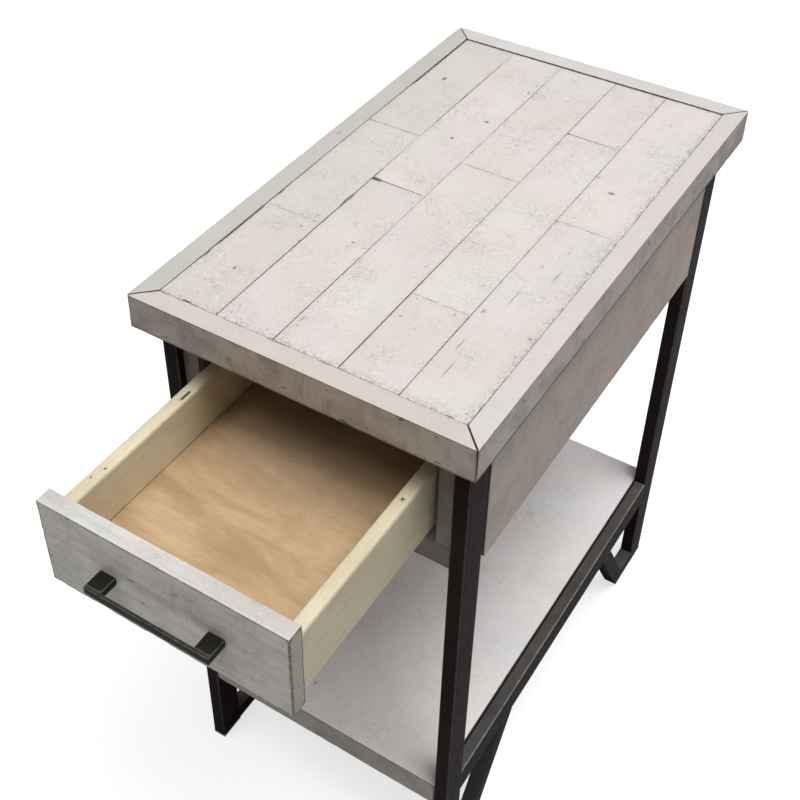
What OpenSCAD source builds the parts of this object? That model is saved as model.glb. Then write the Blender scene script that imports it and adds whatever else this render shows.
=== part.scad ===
// Narrow chairside table: a plank top on two steel side frames, a hung case with one drawer, and a low shelf.
// Millimetres, +Z up, front towards -Y. The drawer is drawn pulled out by drawer_open.
// The modules work in the table's own frame, centred on the top. move_to_row() brings them to the row's
// frame, whose origin is the middle of the bounding box on the floor.

/* [Top] */
// Width of the top, left to right
top_w = 305; // [290:1:340]
// Depth of the top, front to back
top_d = 515; // [500:1:560]
// Height of the top's upper face above the floor
table_h = 607; // [560:1:660]
// Thickness of the top
top_t = 31.6; // [26:0.2:40]
// Width of the mitred edge strips
edge_w = 17.9; // [12:0.1:24]
// Thickness of the planks on the core
plank_t = 9; // [6:0.5:14]
// How far the planks lie below the edge strips
plank_drop = 0.4; // [0:0.1:1]
// Open seam between neighbouring planks
seam = 0.6; // [0.2:0.1:1.2]

/* [Steel frames] */
// Side of the tube across the frame, left to right
tube_x = 14; // [12:0.5:20]
// Side of a leg's tube front to back
leg_y = 28; // [22:0.5:36]
// Wall of the tubes
tube_wall = 1.5; // [1:0.1:2.5]
// How far the legs stand in from the top's sides
inset_x = 12.5; // [8:0.5:16]
// How far the legs stand in from the top's front and back
inset_y = 18.8; // [12:0.1:24]
// Height of the rails' upper face above the floor
rail_top = 136.7; // [120:0.1:180]
// Height of a rail's section
rail_h = 30.2; // [24:0.1:36]
// Height of the foot bars
foot_bar_h = 18; // [14:0.5:20]
// Length of floor that each foot covers, leg included
foot_len = 67; // [58:1:74]
// How far each brace leans inwards between the floor and the rail
brace_lean = 64; // [56:1:72]
// Width of each brace along the rail
brace_w = 19.5; // [15:0.5:22]
// Thickness of the glides under the feet
glide_t = 2; // [1:0.5:3]

/* [Case] */
// Height of the case's lower edge above the floor
case_bottom = 439; // [420:1:450]
// Thickness of the case's boards
board = 15; // [12:0.5:16]
// How far the case's front stands behind the front of the legs
case_setback = 6.7; // [4:0.1:10]
// Width of the front stiles
stile_w = 16; // [14:0.5:17]
// Height of the bottom front rail
rail_bottom_h = 23; // [20:0.5:24]
// Gap between each front leg and the case side's outer layer
leg_gap = 4.1; // [3:0.1:12]

/* [Drawer] */
// How far the drawer is pulled out
drawer_open = 182.5; // [20:0.5:280]
// Height of the drawer front
front_h = 84.5; // [80:0.5:86]
// Gap round the drawer front
front_gap = 3; // [2:0.5:4]
// Thickness of the drawer front
front_t = 14.4; // [12:0.1:16]
// Thickness of the drawer's sides and back
side_t = 12; // [10:0.5:13]
// Height of the drawer's sides
side_h = 63; // [56:0.5:64]
// Depth of the drawer box behind its front
box_d = 400; // [380:1:405]
// Gap between the drawer's sides and the case, each side
side_gap = 5.5; // [3:0.5:7]
// Thickness of the drawer's bottom panel
bottom_t = 6; // [4:0.5:8]
// Sliding clearance between the drawer and what it runs on
slide_gap = 0.4; // [0.3:0.1:0.8]
// Travel from the drawn position to the fully open stop
more_open = 100; // [60:1:110]

/* [Handle] */
// Length of the handle
handle_l = 109; // [90:1:140]
// How far the handle stands out from the drawer front
handle_out = 18.4; // [14:0.1:26]
// Height of the handle's section
handle_h = 7; // [6:0.1:12]
// Thickness of the handle's bar, front to back
handle_bar_t = 2.8; // [2:0.1:6]
// Width of each post
post_w = 14; // [10:0.5:18]

/* [Hidden] */
$fn = 48;

LEFT = -1;
RIGHT = 1;
FRONT = -1;
BACK = 1;

// The front of the handle is the furthest point forward, and the back of the top the furthest back.
leg_front_y = -top_d / 2 + inset_y;
case_front_y = leg_front_y + case_setback;
shift_y = (drawer_open + handle_out - case_front_y - top_d / 2) / 2;

// Top
top_under = table_h - top_t;
plank_top = table_h - plank_drop;
core_top = plank_top - plank_t;
field_x = top_w / 2 - edge_w;
field_y = top_d / 2 - edge_w;
// Shares of the field's width that the five rows of planks take, from left to right.
row_shares = [54, 52, 57, 51, 55];
function shares_before(row) = row == 0 ? 0 : shares_before(row - 1) + row_shares[row - 1];
row_edges = [for (row = [0 : len(row_shares)])
             -field_x + shares_before(row) / shares_before(len(row_shares)) * 2 * field_x];
// Places of the butt joints along each row, as shares of the field's depth from the front.
row_joints = [[0.29, 0.62], [0.455], [0.582], [0.213, 0.776], [0.515]];

// Steel frames
leg_x = top_w / 2 - inset_x - tube_x;
leg_in_y = top_d / 2 - inset_y - leg_y;
rail_under = rail_top - rail_h;
brace_floor_y = leg_in_y + leg_y - foot_len;
brace_rail_y = brace_floor_y - brace_lean;

// Case
case_back_y = -case_front_y;
stile_x = leg_x - stile_w;
case_in_x = leg_x - board;
opening_bottom = case_bottom + rail_bottom_h;

// Drawer, drawn closed
front_z = opening_bottom + front_gap;
front_back_y = case_front_y + front_t;
opening_top = front_z + front_h + front_gap;
box_x = case_in_x - side_gap;
box_rise = 7;
box_z = front_z + box_rise;
box_back_y = front_back_y + box_d;
groove_rise = 10;
groove = 5;
bottom_z = box_z + groove_rise;
front_side_gap = 2;
runner_w = 15;
runner_h = 20;
kicker_w = 20;
kicker_gap = 3;
kicker_z = box_z + side_h + kicker_gap;
stop_l = 12;
drawer_stop_h = 14;

// Centre guide, under the drawer's bottom panel
guide_w = 22;
guide_h = 24;
guide_drop = 6;
guide_top = bottom_z - guide_drop;
saddle_t = 5;
saddle_w = guide_w + 2 * (saddle_t + slide_gap);
saddle_l = 18;
saddle_drop = 14;
guide_stop_h = 4.5;

// Fasteners
screw_head_r = 4;
screw_head_h = 2.2;
screw_shank_r = 2;
shelf_screw_l = 20;
top_screw_l = 45;
top_screw_step = 150;
handle_screw_bite = 10;

// How far a cut runs past the face that it opens, so that no skin is left.
past = 1;

// Colours
whitewash = [0.86, 0.83, 0.80];
brushed_grey = [0.62, 0.62, 0.58];
cream_wood = [0.90, 0.86, 0.70];
tan_ply = [0.79, 0.66, 0.50];
plain_wood = [0.72, 0.60, 0.44];
gunmetal = [0.16, 0.15, 0.15];
zinc = [0.62, 0.63, 0.65];
nylon = [0.90, 0.90, 0.88];

// Brings a still piece to the row's frame.
module move_to_row() {
    translate([0, shift_y, 0]) children();
}

// Brings a piece of the drawer, drawn closed, to the row's frame.
module drawer_to_row() {
    translate([0, shift_y - drawer_open, 0]) children();
}

// A box from one corner to the opposite one.
module span(low, high) {
    translate(low) cube(high - low);
}

// A box that is mirrored to the left or the right side.
module side_span(side, low, high) {
    mirror([side == LEFT ? 1 : 0, 0, 0]) span(low, high);
}

// A pan-head screw with its head at the origin and its shank along +Z.
module screw(length) {
    rotate_extrude()
        polygon([[0, -screw_head_h], [screw_head_r * 0.6, -screw_head_h], [screw_head_r, -screw_head_h * 0.4],
                 [screw_head_r, 0], [screw_shank_r, 0], [screw_shank_r, length - screw_shank_r],
                 [0, length]]);
}

// Top ----------------------------------------------------------------------------------------------

module top_core() {
    color(plain_wood) move_to_row()
        span([-field_x, -field_y, top_under], [field_x, field_y, core_top]);
}

// A mitred strip of the given length along X, its outer side at y = 0.
module mitred_strip(length) {
    linear_extrude(top_t)
        polygon([[-length / 2, 0], [length / 2, 0],
                 [length / 2 - edge_w, edge_w], [-length / 2 + edge_w, edge_w]]);
}

module edge_strip(turn, length, reach) {
    color(whitewash) move_to_row()
        rotate([0, 0, turn]) translate([0, -reach, top_under]) mitred_strip(length);
}

// Plank of a row, numbered from 0 on the left, and of a place in that row, numbered from 0 at the front.
module plank(row, place) {
    joints = concat([0], row_joints[row], [1]);
    low = -field_y + joints[place] * 2 * field_y;
    high = -field_y + joints[place + 1] * 2 * field_y;
    color(whitewash) move_to_row()
        span([row_edges[row] + seam / 2, low + seam / 2, core_top],
             [row_edges[row + 1] - seam / 2, high - seam / 2, plank_top]);
}

// Steel frames -------------------------------------------------------------------------------------

module leg(side, end) {
    color(gunmetal) move_to_row() mirror([0, end == FRONT ? 1 : 0, 0])
        difference() {
            side_span(side, [leg_x, leg_in_y, glide_t], [leg_x + tube_x, leg_in_y + leg_y, top_under]);
            side_span(side, [leg_x + tube_wall, leg_in_y + tube_wall, 0],
                      [leg_x + tube_x - tube_wall, leg_in_y + leg_y - tube_wall, top_under + past]);
        }
}

module side_rail(side) {
    color(gunmetal) move_to_row()
        difference() {
            side_span(side, [leg_x, -leg_in_y, rail_under], [leg_x + tube_x, leg_in_y, rail_top]);
            side_span(side, [leg_x + tube_wall, -leg_in_y - past, rail_under + tube_wall],
                      [leg_x + tube_x - tube_wall, leg_in_y + past, rail_top - tube_wall]);
        }
}

// Where the leaning faces of a brace stand at a height above the floor.
function brace_low_y(z) = brace_floor_y - brace_lean * z / rail_under;

// An outline in the Y-Z plane, extruded across the frame on one side and at one end.
module frame_plate(side, end, outline) {
    color(gunmetal) move_to_row() mirror([0, end == FRONT ? 1 : 0, 0]) mirror([side == LEFT ? 1 : 0, 0, 0])
        translate([leg_x, 0, 0]) rotate([90, 0, 90]) linear_extrude(tube_x) polygon(outline);
}

// The bar along the floor, from the brace's leaning face to the leg.
module foot_bar(side, end) {
    frame_plate(side, end, [[brace_low_y(glide_t) + brace_w, glide_t], [leg_in_y, glide_t],
                            [leg_in_y, foot_bar_h], [brace_low_y(foot_bar_h) + brace_w, foot_bar_h]]);
}

// The diagonal brace, from the floor to the underside of the rail.
module foot_brace(side, end) {
    frame_plate(side, end, [[brace_low_y(glide_t), glide_t], [brace_low_y(glide_t) + brace_w, glide_t],
                            [brace_rail_y + brace_w, rail_under], [brace_rail_y, rail_under]]);
}

// An end cap under each leg, and a pad under each brace.
module floor_glides() {
    pad_l = 14;
    pad_in = 1;
    pad_y = brace_floor_y + 2 * pad_in;
    color(nylon) move_to_row()
        for (side = [LEFT, RIGHT], end = [FRONT, BACK])
            mirror([0, end == FRONT ? 1 : 0, 0]) {
                side_span(side, [leg_x, leg_in_y, 0], [leg_x + tube_x, leg_in_y + leg_y, glide_t]);
                side_span(side, [leg_x + pad_in, pad_y, 0],
                          [leg_x + tube_x - pad_in, pad_y + pad_l, glide_t]);
            }
}

// Shelf --------------------------------------------------------------------------------------------

shelf_setback = 1;
tab_t = 3;
tab_l = 24;
tab_under_shelf = 26;
tab_under_rail = 10;
tab_from_leg = 68;
tab_y = leg_in_y - tab_from_leg;

module shelf() {
    color(whitewash) move_to_row()
        span([-leg_x, leg_front_y + shelf_setback, rail_under], [leg_x, case_back_y, rail_top]);
}

// Steel tabs under the rails, which carry the shelf.
module shelf_tabs() {
    color(gunmetal) move_to_row()
        for (side = [LEFT, RIGHT], end = [FRONT, BACK])
            mirror([0, end == FRONT ? 1 : 0, 0])
                side_span(side, [leg_x - tab_under_shelf, tab_y - tab_l / 2, rail_under - tab_t],
                          [leg_x + tab_under_rail, tab_y + tab_l / 2, rail_under]);
}

module shelf_screws() {
    color(zinc) move_to_row()
        for (side = [LEFT, RIGHT], end = [FRONT, BACK])
            translate([side * (leg_x - tab_under_shelf / 2), end * tab_y, rail_under - tab_t])
                screw(shelf_screw_l);
}

// Case ---------------------------------------------------------------------------------------------

// A board behind the legs with a thicker middle that fills the space between them.
module case_side(side) {
    color(whitewash) move_to_row()
        union() {
            side_span(side, [case_in_x, case_front_y + board, case_bottom],
                      [leg_x, case_back_y - board, top_under]);
            side_span(side, [leg_x, -leg_in_y + leg_gap, case_bottom],
                      [leg_x + tube_x, leg_in_y, top_under]);
        }
}

module stile(side) {
    color(whitewash) move_to_row()
        side_span(side, [stile_x, case_front_y, opening_bottom], [leg_x, case_front_y + board, top_under]);
}

module front_rail_bottom() {
    color(whitewash) move_to_row()
        span([-leg_x, case_front_y, case_bottom], [leg_x, case_front_y + board, opening_bottom]);
}

module front_rail_top() {
    color(whitewash) move_to_row()
        span([-stile_x, case_front_y, opening_top], [stile_x, case_front_y + board, top_under]);
}

module case_back() {
    color(whitewash) move_to_row()
        span([-leg_x, case_back_y - board, case_bottom], [leg_x, case_back_y, top_under]);
}

// The strip that a drawer side slides on.
module runner(side) {
    runner_top = box_z - slide_gap;
    color(plain_wood) move_to_row()
        side_span(side, [case_in_x - runner_w, case_front_y + board, runner_top - runner_h],
                  [case_in_x, case_back_y - board, runner_top]);
}

// The strip over a drawer side that keeps the open drawer level, and that holds the top.
module kicker(side) {
    color(plain_wood) move_to_row()
        side_span(side, [case_in_x - kicker_w, case_front_y + board, kicker_z],
                  [case_in_x, case_back_y - board, top_under]);
}

module top_screws() {
    color(zinc) move_to_row()
        for (side = [LEFT, RIGHT], place = [-1, 0, 1])
            translate([side * (case_in_x - kicker_w / 2), place * top_screw_step, kicker_z + screw_head_h])
                screw(top_screw_l);
}

module centre_guide() {
    color(plain_wood) move_to_row()
        span([-guide_w / 2, case_front_y + board, guide_top - guide_h],
             [guide_w / 2, case_back_y - board, guide_top]);
}

// Where the drawer's saddle stands when the drawer is closed.
saddle_y = box_back_y - saddle_l;

// The block on the centre guide that meets the saddle when the drawer is fully open.
module guide_stop() {
    stop_back = saddle_y - drawer_open - more_open - slide_gap;
    color(plain_wood) move_to_row()
        span([-guide_w / 2, stop_back - stop_l, guide_top],
             [guide_w / 2, stop_back, guide_top + guide_stop_h]);
}

// Blocks on the runners that the drawer's sides meet when it closes.
module drawer_stops() {
    color(plain_wood) move_to_row()
        for (side = [LEFT, RIGHT])
            side_span(side, [box_x - side_t, box_back_y + slide_gap, box_z - slide_gap],
                      [box_x, box_back_y + slide_gap + stop_l, box_z + drawer_stop_h]);
}

// Drawer -------------------------------------------------------------------------------------------

module drawer_front() {
    half_w = stile_x - front_side_gap;
    color(brushed_grey) drawer_to_row()
        difference() {
            span([-half_w, case_front_y, front_z], [half_w, front_back_y, front_z + front_h]);
            span([-box_x + side_t - groove, front_back_y - groove, bottom_z],
                 [box_x - side_t + groove, front_back_y + past, bottom_z + bottom_t]);
        }
}

module drawer_side(side) {
    color(cream_wood) drawer_to_row()
        difference() {
            side_span(side, [box_x - side_t, front_back_y, box_z], [box_x, box_back_y, box_z + side_h]);
            side_span(side, [box_x - side_t - past, front_back_y - past, bottom_z],
                      [box_x - side_t + groove, box_back_y + past, bottom_z + bottom_t]);
        }
}

module drawer_back() {
    color(cream_wood) drawer_to_row()
        span([-box_x + side_t, box_back_y - side_t, bottom_z + bottom_t],
             [box_x - side_t, box_back_y, box_z + side_h]);
}

// The panel sits in grooves of the sides and the front, and passes under the back.
module drawer_bottom() {
    color(tan_ply) drawer_to_row()
        span([-box_x + side_t - groove, front_back_y - groove, bottom_z],
             [box_x - side_t + groove, box_back_y, bottom_z + bottom_t]);
}

// The nylon piece under the drawer's back that straddles the centre guide.
module guide_saddle() {
    color(nylon) drawer_to_row()
        difference() {
            span([-saddle_w / 2, saddle_y, guide_top - saddle_drop], [saddle_w / 2, box_back_y, bottom_z]);
            span([-guide_w / 2 - slide_gap, saddle_y - past, guide_top - saddle_drop - past],
                 [guide_w / 2 + slide_gap, box_back_y + past, guide_top + slide_gap]);
        }
}

// Handle -------------------------------------------------------------------------------------------

handle_z = front_z + front_h / 2;
handle_front_y = case_front_y - handle_out;
post_mid_x = handle_l / 2 - post_w / 2;

module handle_bar() {
    color(gunmetal) drawer_to_row()
        span([-handle_l / 2, handle_front_y, handle_z - handle_h / 2],
             [handle_l / 2, handle_front_y + handle_bar_t, handle_z + handle_h / 2]);
}

module handle_post(side) {
    color(gunmetal) drawer_to_row()
        side_span(side, [handle_l / 2 - post_w, handle_front_y + handle_bar_t, handle_z - handle_h / 2],
                  [handle_l / 2, case_front_y, handle_z + handle_h / 2]);
}

// Screws through the drawer front into the posts, with their heads inside the drawer.
module handle_screws() {
    color(zinc) drawer_to_row()
        for (side = [LEFT, RIGHT])
            translate([side * post_mid_x, front_back_y, handle_z]) rotate([90, 0, 0])
                screw(front_t + handle_screw_bite);
}

top_core();
edge_strip(0, top_w, top_d / 2);  // edge_front
edge_strip(180, top_w, top_d / 2);  // edge_back
edge_strip(-90, top_d, top_w / 2);  // edge_left
edge_strip(90, top_d, top_w / 2);  // edge_right
plank(0, 0);  // plank_1_front
plank(0, 1);  // plank_1_mid
plank(0, 2);  // plank_1_back
plank(1, 0);  // plank_2_front
plank(1, 1);  // plank_2_back
plank(2, 0);  // plank_3_front
plank(2, 1);  // plank_3_back
plank(3, 0);  // plank_4_front
plank(3, 1);  // plank_4_mid
plank(3, 2);  // plank_4_back
plank(4, 0);  // plank_5_front
plank(4, 1);  // plank_5_back
leg(LEFT, FRONT);  // leg_front_left
leg(RIGHT, FRONT);  // leg_front_right
leg(LEFT, BACK);  // leg_back_left
leg(RIGHT, BACK);  // leg_back_right
side_rail(LEFT);  // side_rail_left
side_rail(RIGHT);  // side_rail_right
foot_bar(LEFT, FRONT);  // foot_bar_front_left
foot_bar(RIGHT, FRONT);  // foot_bar_front_right
foot_bar(LEFT, BACK);  // foot_bar_back_left
foot_bar(RIGHT, BACK);  // foot_bar_back_right
foot_brace(LEFT, FRONT);  // foot_brace_front_left
foot_brace(RIGHT, FRONT);  // foot_brace_front_right
foot_brace(LEFT, BACK);  // foot_brace_back_left
foot_brace(RIGHT, BACK);  // foot_brace_back_right
floor_glides();
shelf();
shelf_tabs();
shelf_screws();
case_side(LEFT);  // case_side_left
case_side(RIGHT);  // case_side_right
stile(LEFT);  // stile_left
stile(RIGHT);  // stile_right
front_rail_bottom();
front_rail_top();
case_back();
runner(LEFT);  // runner_left
runner(RIGHT);  // runner_right
kicker(LEFT);  // kicker_left
kicker(RIGHT);  // kicker_right
top_screws();
centre_guide();
guide_stop();
drawer_stops();
drawer_front();
drawer_side(LEFT);  // drawer_side_left
drawer_side(RIGHT);  // drawer_side_right
drawer_back();
drawer_bottom();
guide_saddle();
handle_bar();
handle_post(LEFT);  // handle_post_left
handle_post(RIGHT);  // handle_post_right
handle_screws();
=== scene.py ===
"""Looks of the narrow chairside table: whitewashed boards, gunmetal steel frames, a drawer box of bare wood.

The boards, legs, side rails and handle are meshes made here, each in its CAD node's place. The other nodes
keep their CAD shape."""
import math
import random

import bpy
import numpy as np
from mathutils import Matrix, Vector, noise


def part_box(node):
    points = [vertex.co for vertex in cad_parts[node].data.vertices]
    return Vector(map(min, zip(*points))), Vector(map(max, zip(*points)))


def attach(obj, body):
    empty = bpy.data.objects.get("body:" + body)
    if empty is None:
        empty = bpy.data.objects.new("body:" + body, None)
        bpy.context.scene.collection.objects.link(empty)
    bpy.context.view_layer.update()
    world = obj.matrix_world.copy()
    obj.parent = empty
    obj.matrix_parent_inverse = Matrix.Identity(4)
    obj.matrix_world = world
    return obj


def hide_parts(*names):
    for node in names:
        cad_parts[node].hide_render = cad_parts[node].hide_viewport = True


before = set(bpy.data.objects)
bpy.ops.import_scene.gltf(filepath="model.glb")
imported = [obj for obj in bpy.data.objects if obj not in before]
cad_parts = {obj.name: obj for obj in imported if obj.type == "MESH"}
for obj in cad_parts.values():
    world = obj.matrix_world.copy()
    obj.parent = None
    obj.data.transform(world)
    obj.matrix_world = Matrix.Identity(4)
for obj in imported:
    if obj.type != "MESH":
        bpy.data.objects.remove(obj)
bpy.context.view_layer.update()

MM = 0.001
X, Y, Z = 0, 1, 2


# Camera, floor and light ----------------------------------

CAMERA_PLACE = (0.4094, -0.7071, 1.2200)
CAMERA_AZIMUTH, CAMERA_ELEVATION = 32.74, 39.74  # degrees round from the table's front, and up
CAMERA_LENS = 57.65
CAMERA_SHIFT = (0.043, -0.1125)
LIGHTS_AIM = Vector((0, 0, 0.3))
FLOOR_HALF = 15  # metres
FLOOR_GLOW = 0.70
HORIZON_LIGHT, OVERHEAD_LIGHT = 0.03, 0.46


def put(thing, place, direction):
    """Puts a camera or light into the scene at a place, looking along a direction."""
    thing.location = place
    thing.rotation_mode = "QUATERNION"
    thing.rotation_quaternion = direction.to_track_quat("-Z", "Y")
    bpy.context.scene.collection.objects.link(thing)


def make_camera():
    """A standing person's look down at the drawn drawer, with the table low in the frame."""
    azimuth, elevation = math.radians(CAMERA_AZIMUTH), math.radians(CAMERA_ELEVATION)
    back = Vector((math.sin(azimuth) * math.cos(elevation),
                   -math.cos(azimuth) * math.cos(elevation),
                   math.sin(elevation)))
    data = bpy.data.cameras.new("camera")
    data.sensor_width = 36
    data.lens = CAMERA_LENS
    data.shift_x, data.shift_y = CAMERA_SHIFT
    data.clip_start = 0.01
    camera = bpy.data.objects.new("camera", data)
    put(camera, CAMERA_PLACE, -back)
    bpy.context.scene.camera = camera


def make_softbox(name, place, size, power, colour):
    """A round soft light that hangs at a place and shines on the table."""
    data = bpy.data.lights.new(name, "AREA")
    data.shape = "DISK"
    data.size = size
    data.energy = power
    data.color = colour
    put(bpy.data.objects.new(name, data), place, LIGHTS_AIM - Vector(place))


def make_floor():
    """A pale floor that looks nearly white and throws little light back up."""
    corners = [(-1, -1), (1, -1), (1, 1), (-1, 1)]
    mesh = bpy.data.meshes.new("studio_floor")
    mesh.from_pydata([(x * FLOOR_HALF, y * FLOOR_HALF, 0) for x, y in corners], [], [(0, 1, 2, 3)])
    floor = bpy.data.objects.new("studio_floor", mesh)
    bpy.context.scene.collection.objects.link(floor)
    paint = Paint("studio_floor")
    speckle = paint.noise(paint.place(), 3, detail=2)
    paint.set("Base Color", paint.ramp(speckle, [(0.3, (0.45, 0.45, 0.45)), (0.7, (0.47, 0.47, 0.47))]))
    paint.set("Roughness", 0.9)
    paint.set("Emission Color", (1, 1, 1, 1))
    seen = paint.node("ShaderNodeLightPath").outputs["Is Camera Ray"]
    paint.set("Emission Strength", paint.times(seen, FLOOR_GLOW))
    mesh.materials.append(paint.material)


def make_room():
    """Light from all round, weak near the horizon and stronger overhead. The room itself looks white."""
    world = bpy.data.worlds.new("studio")
    world.use_nodes = True
    tree = world.node_tree
    background = tree.nodes["Background"]
    background.inputs["Color"].default_value = (1, 1, 1, 1)
    towards = tree.nodes.new("ShaderNodeTexCoord")
    parts = tree.nodes.new("ShaderNodeSeparateXYZ")
    height = tree.nodes.new("ShaderNodeMapRange")
    path = tree.nodes.new("ShaderNodeLightPath")
    brightest = tree.nodes.new("ShaderNodeMath")
    brightest.operation = "MAXIMUM"
    for name, value in (("From Min", 0.3), ("From Max", 0.95),
                        ("To Min", HORIZON_LIGHT), ("To Max", OVERHEAD_LIGHT)):
        height.inputs[name].default_value = value
    for start, end in ((towards.outputs["Generated"], parts.inputs[0]),
                       (parts.outputs["Z"], height.inputs["Value"]),
                       (height.outputs["Result"], brightest.inputs[0]),
                       (path.outputs["Is Camera Ray"], brightest.inputs[1]),
                       (brightest.outputs[0], background.inputs["Strength"])):
        tree.links.new(start, end)
    bpy.context.scene.world = world
    bpy.context.scene.view_settings.view_transform = "Standard"
    bpy.context.scene.view_settings.look = "None"


# Materials ------------------------------------------------

EDGE_REACH = 10 * MM  # how far from a board's edge its point attribute near_edge goes
APART = (3.7, 2.9, 5.3)  # metres between the textures of two boards whose own numbers differ by 1
DARK = (0.07, 0.055, 0.045)
PALE_FLAKE = (0.88, 0.87, 0.85)
WASH_HUES = [(0.1, (0.972, 1.0, 0.955)), (0.5, (1.0, 0.972, 0.968)), (0.9, (0.975, 0.985, 1.0))]


def tinted(colour, tint):
    return tuple(part * share for part, share in zip(colour, tint))


class Paint:
    """One node material, with short calls for what the finishes below share.

    Its colour is built up from covers, each laid over the ones before. Its relief is a list of marks and how
    deep they go; a mark with a negative depth stands proud."""

    def __init__(self, name):
        self.material = bpy.data.materials.new(name)
        self.material.use_nodes = True
        self.tree = self.material.node_tree
        self.shader = self.tree.nodes["Principled BSDF"]
        self.colour = None
        self.relief = []

    def node(self, kind, inputs=(), **settings):
        made = self.tree.nodes.new(kind)
        for key, value in settings.items():
            setattr(made, key, value)
        for key, value in inputs:
            self.feed(value, made.inputs[key])
        return made

    def feed(self, value, socket):
        if isinstance(value, bpy.types.NodeSocket):
            self.tree.links.new(value, socket)
        else:
            socket.default_value = value

    def set(self, name, value):
        self.feed(value, self.shader.inputs[name])

    def place(self):
        """Where a point of the table is at rest, in metres."""
        return self.node("ShaderNodeTexCoord").outputs["Object"]

    def own(self, name):
        """A number that the mesh holds at each point, or 0 where the mesh has none of that name."""
        return self.node("ShaderNodeAttribute", attribute_name=name).outputs["Fac"]

    def shifted(self):
        """place(), moved by the piece's own number, so that no two boards have the same figure."""
        far = self.node("ShaderNodeVectorMath", [(0, self.own("shift")), (1, APART)], operation="MULTIPLY")
        return self.node("ShaderNodeVectorMath", [(0, self.place()), (1, far.outputs[0])]).outputs[0]

    def drawn_out(self, vector, axis, share):
        """The vector of a texture that is drawn out along one axis: the smaller the share, the longer."""
        scale = tuple(share if each == axis else 1.0 for each in (X, Y, Z))
        return self.node("ShaderNodeVectorMath", [(0, vector), (1, scale)], operation="MULTIPLY").outputs[0]

    def by_edge(self, reach, full=0.0):
        """1 from the board's edge to full from it, falling to 0 at reach from it."""
        return self.between(self.own("near_edge"), 1 - reach / EDGE_REACH, 1 - full / EDGE_REACH)

    def normal(self, axis):
        """One part of the direction that the surface faces."""
        direction = self.node("ShaderNodeTexCoord").outputs["Normal"]
        return self.node("ShaderNodeSeparateXYZ", [(0, direction)]).outputs[axis]

    def facing_up(self):
        """1 where the surface faces up, and 0 where it stands upright or faces down."""
        return self.between(self.normal(Z), 0.3, 0.75)

    def facing(self, axis):
        """1 where the surface faces along an axis, either way."""
        return self.between(self.maths("ABSOLUTE", self.normal(axis)), 0.5, 0.8)

    def noise(self, vector, scale, detail=3, roughness=0.5, distortion=0):
        made = self.node("ShaderNodeTexNoise", [("Vector", vector), ("Scale", scale), ("Detail", detail),
                                                ("Roughness", roughness), ("Distortion", distortion)])
        return made.outputs["Fac"]

    def contour(self, vector, scale, width):
        """Thin wandering lines, like the cracks in old paint."""
        field = self.noise(vector, scale, roughness=0.55, distortion=0.8)
        off = self.maths("ABSOLUTE", self.maths("SUBTRACT", field, 0.5))
        return self.between(off, 0, width, 1, 0)

    def waves(self, vector, scale, distortion, **shape):
        inputs = [("Vector", vector), ("Scale", scale), ("Distortion", distortion),
                  ("Detail", 3), ("Detail Scale", 1.5)]
        return self.node("ShaderNodeTexWave", inputs, **shape).outputs["Fac"]

    def bands(self, vector, along, scale, distortion):
        """Wavy bands that follow one another along an axis."""
        return self.waves(vector, scale, distortion, wave_type="BANDS", bands_direction="XYZ"[along])

    def growth_rings(self, vector, along, share, scale, distortion):
        """Wavy rings round an axis, drawn out along it."""
        return self.waves(self.drawn_out(vector, along, share), scale, distortion,
                          wave_type="RINGS", rings_direction="XYZ"[along])

    def cells(self, vector, scale):
        """Distance from the nearest scattered point, and a number of that point's own from 0 to 1."""
        made = self.node("ShaderNodeTexVoronoi", [("Vector", vector), ("Scale", scale)])
        own = self.node("ShaderNodeSeparateColor", [(0, made.outputs["Color"])])
        return made.outputs["Distance"], own.outputs[0]

    def maths(self, operation, a, b=0.0):
        return self.node("ShaderNodeMath", [(0, a), (1, b)], operation=operation).outputs[0]

    def times(self, a, b):
        return self.maths("MULTIPLY", a, b)

    def between(self, value, low, high, to_low=0.0, to_high=1.0):
        """value from low to high becomes to_low to to_high, and holds outside them."""
        made = self.node("ShaderNodeMapRange", [("Value", value), ("From Min", low), ("From Max", high),
                                                ("To Min", to_low), ("To Max", to_high)], clamp=True)
        return made.outputs["Result"]

    def ramp(self, value, stops):
        made = self.node("ShaderNodeValToRGB", [("Fac", value)])
        marks = made.color_ramp.elements
        while len(marks) < len(stops):
            marks.new(0.5)
        for mark, (where, colour) in zip(marks, stops):
            mark.position = where
            mark.color = (*colour, 1)
        return made.outputs["Color"]

    def mix(self, share, a, b, how="MIX"):
        made = self.node("ShaderNodeMix", data_type="RGBA", blend_type=how, clamp_result=True)
        for socket, value in ((made.inputs[0], share), (made.inputs[6], a), (made.inputs[7], b)):
            self.feed((*value, 1) if isinstance(value, tuple) else value, socket)
        return made.outputs[2]

    def cover(self, share, colour, how="MIX"):
        """Lays a colour over the colour so far, where share says."""
        self.colour = self.mix(share, self.colour, colour, how)

    def finish(self, roughness, height, depth):
        """Hands the colour, the roughness and the height less the relief to the shader."""
        for mark, share in self.relief:
            height = self.maths("SUBTRACT", height, self.times(mark, share))
        bump = self.node("ShaderNodeBump", [("Height", height), ("Distance", depth), ("Strength", 1.0)])
        self.set("Base Color", self.colour)
        self.set("Roughness", roughness)
        self.set("Normal", bump.outputs["Normal"])
        return self.material


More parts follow.
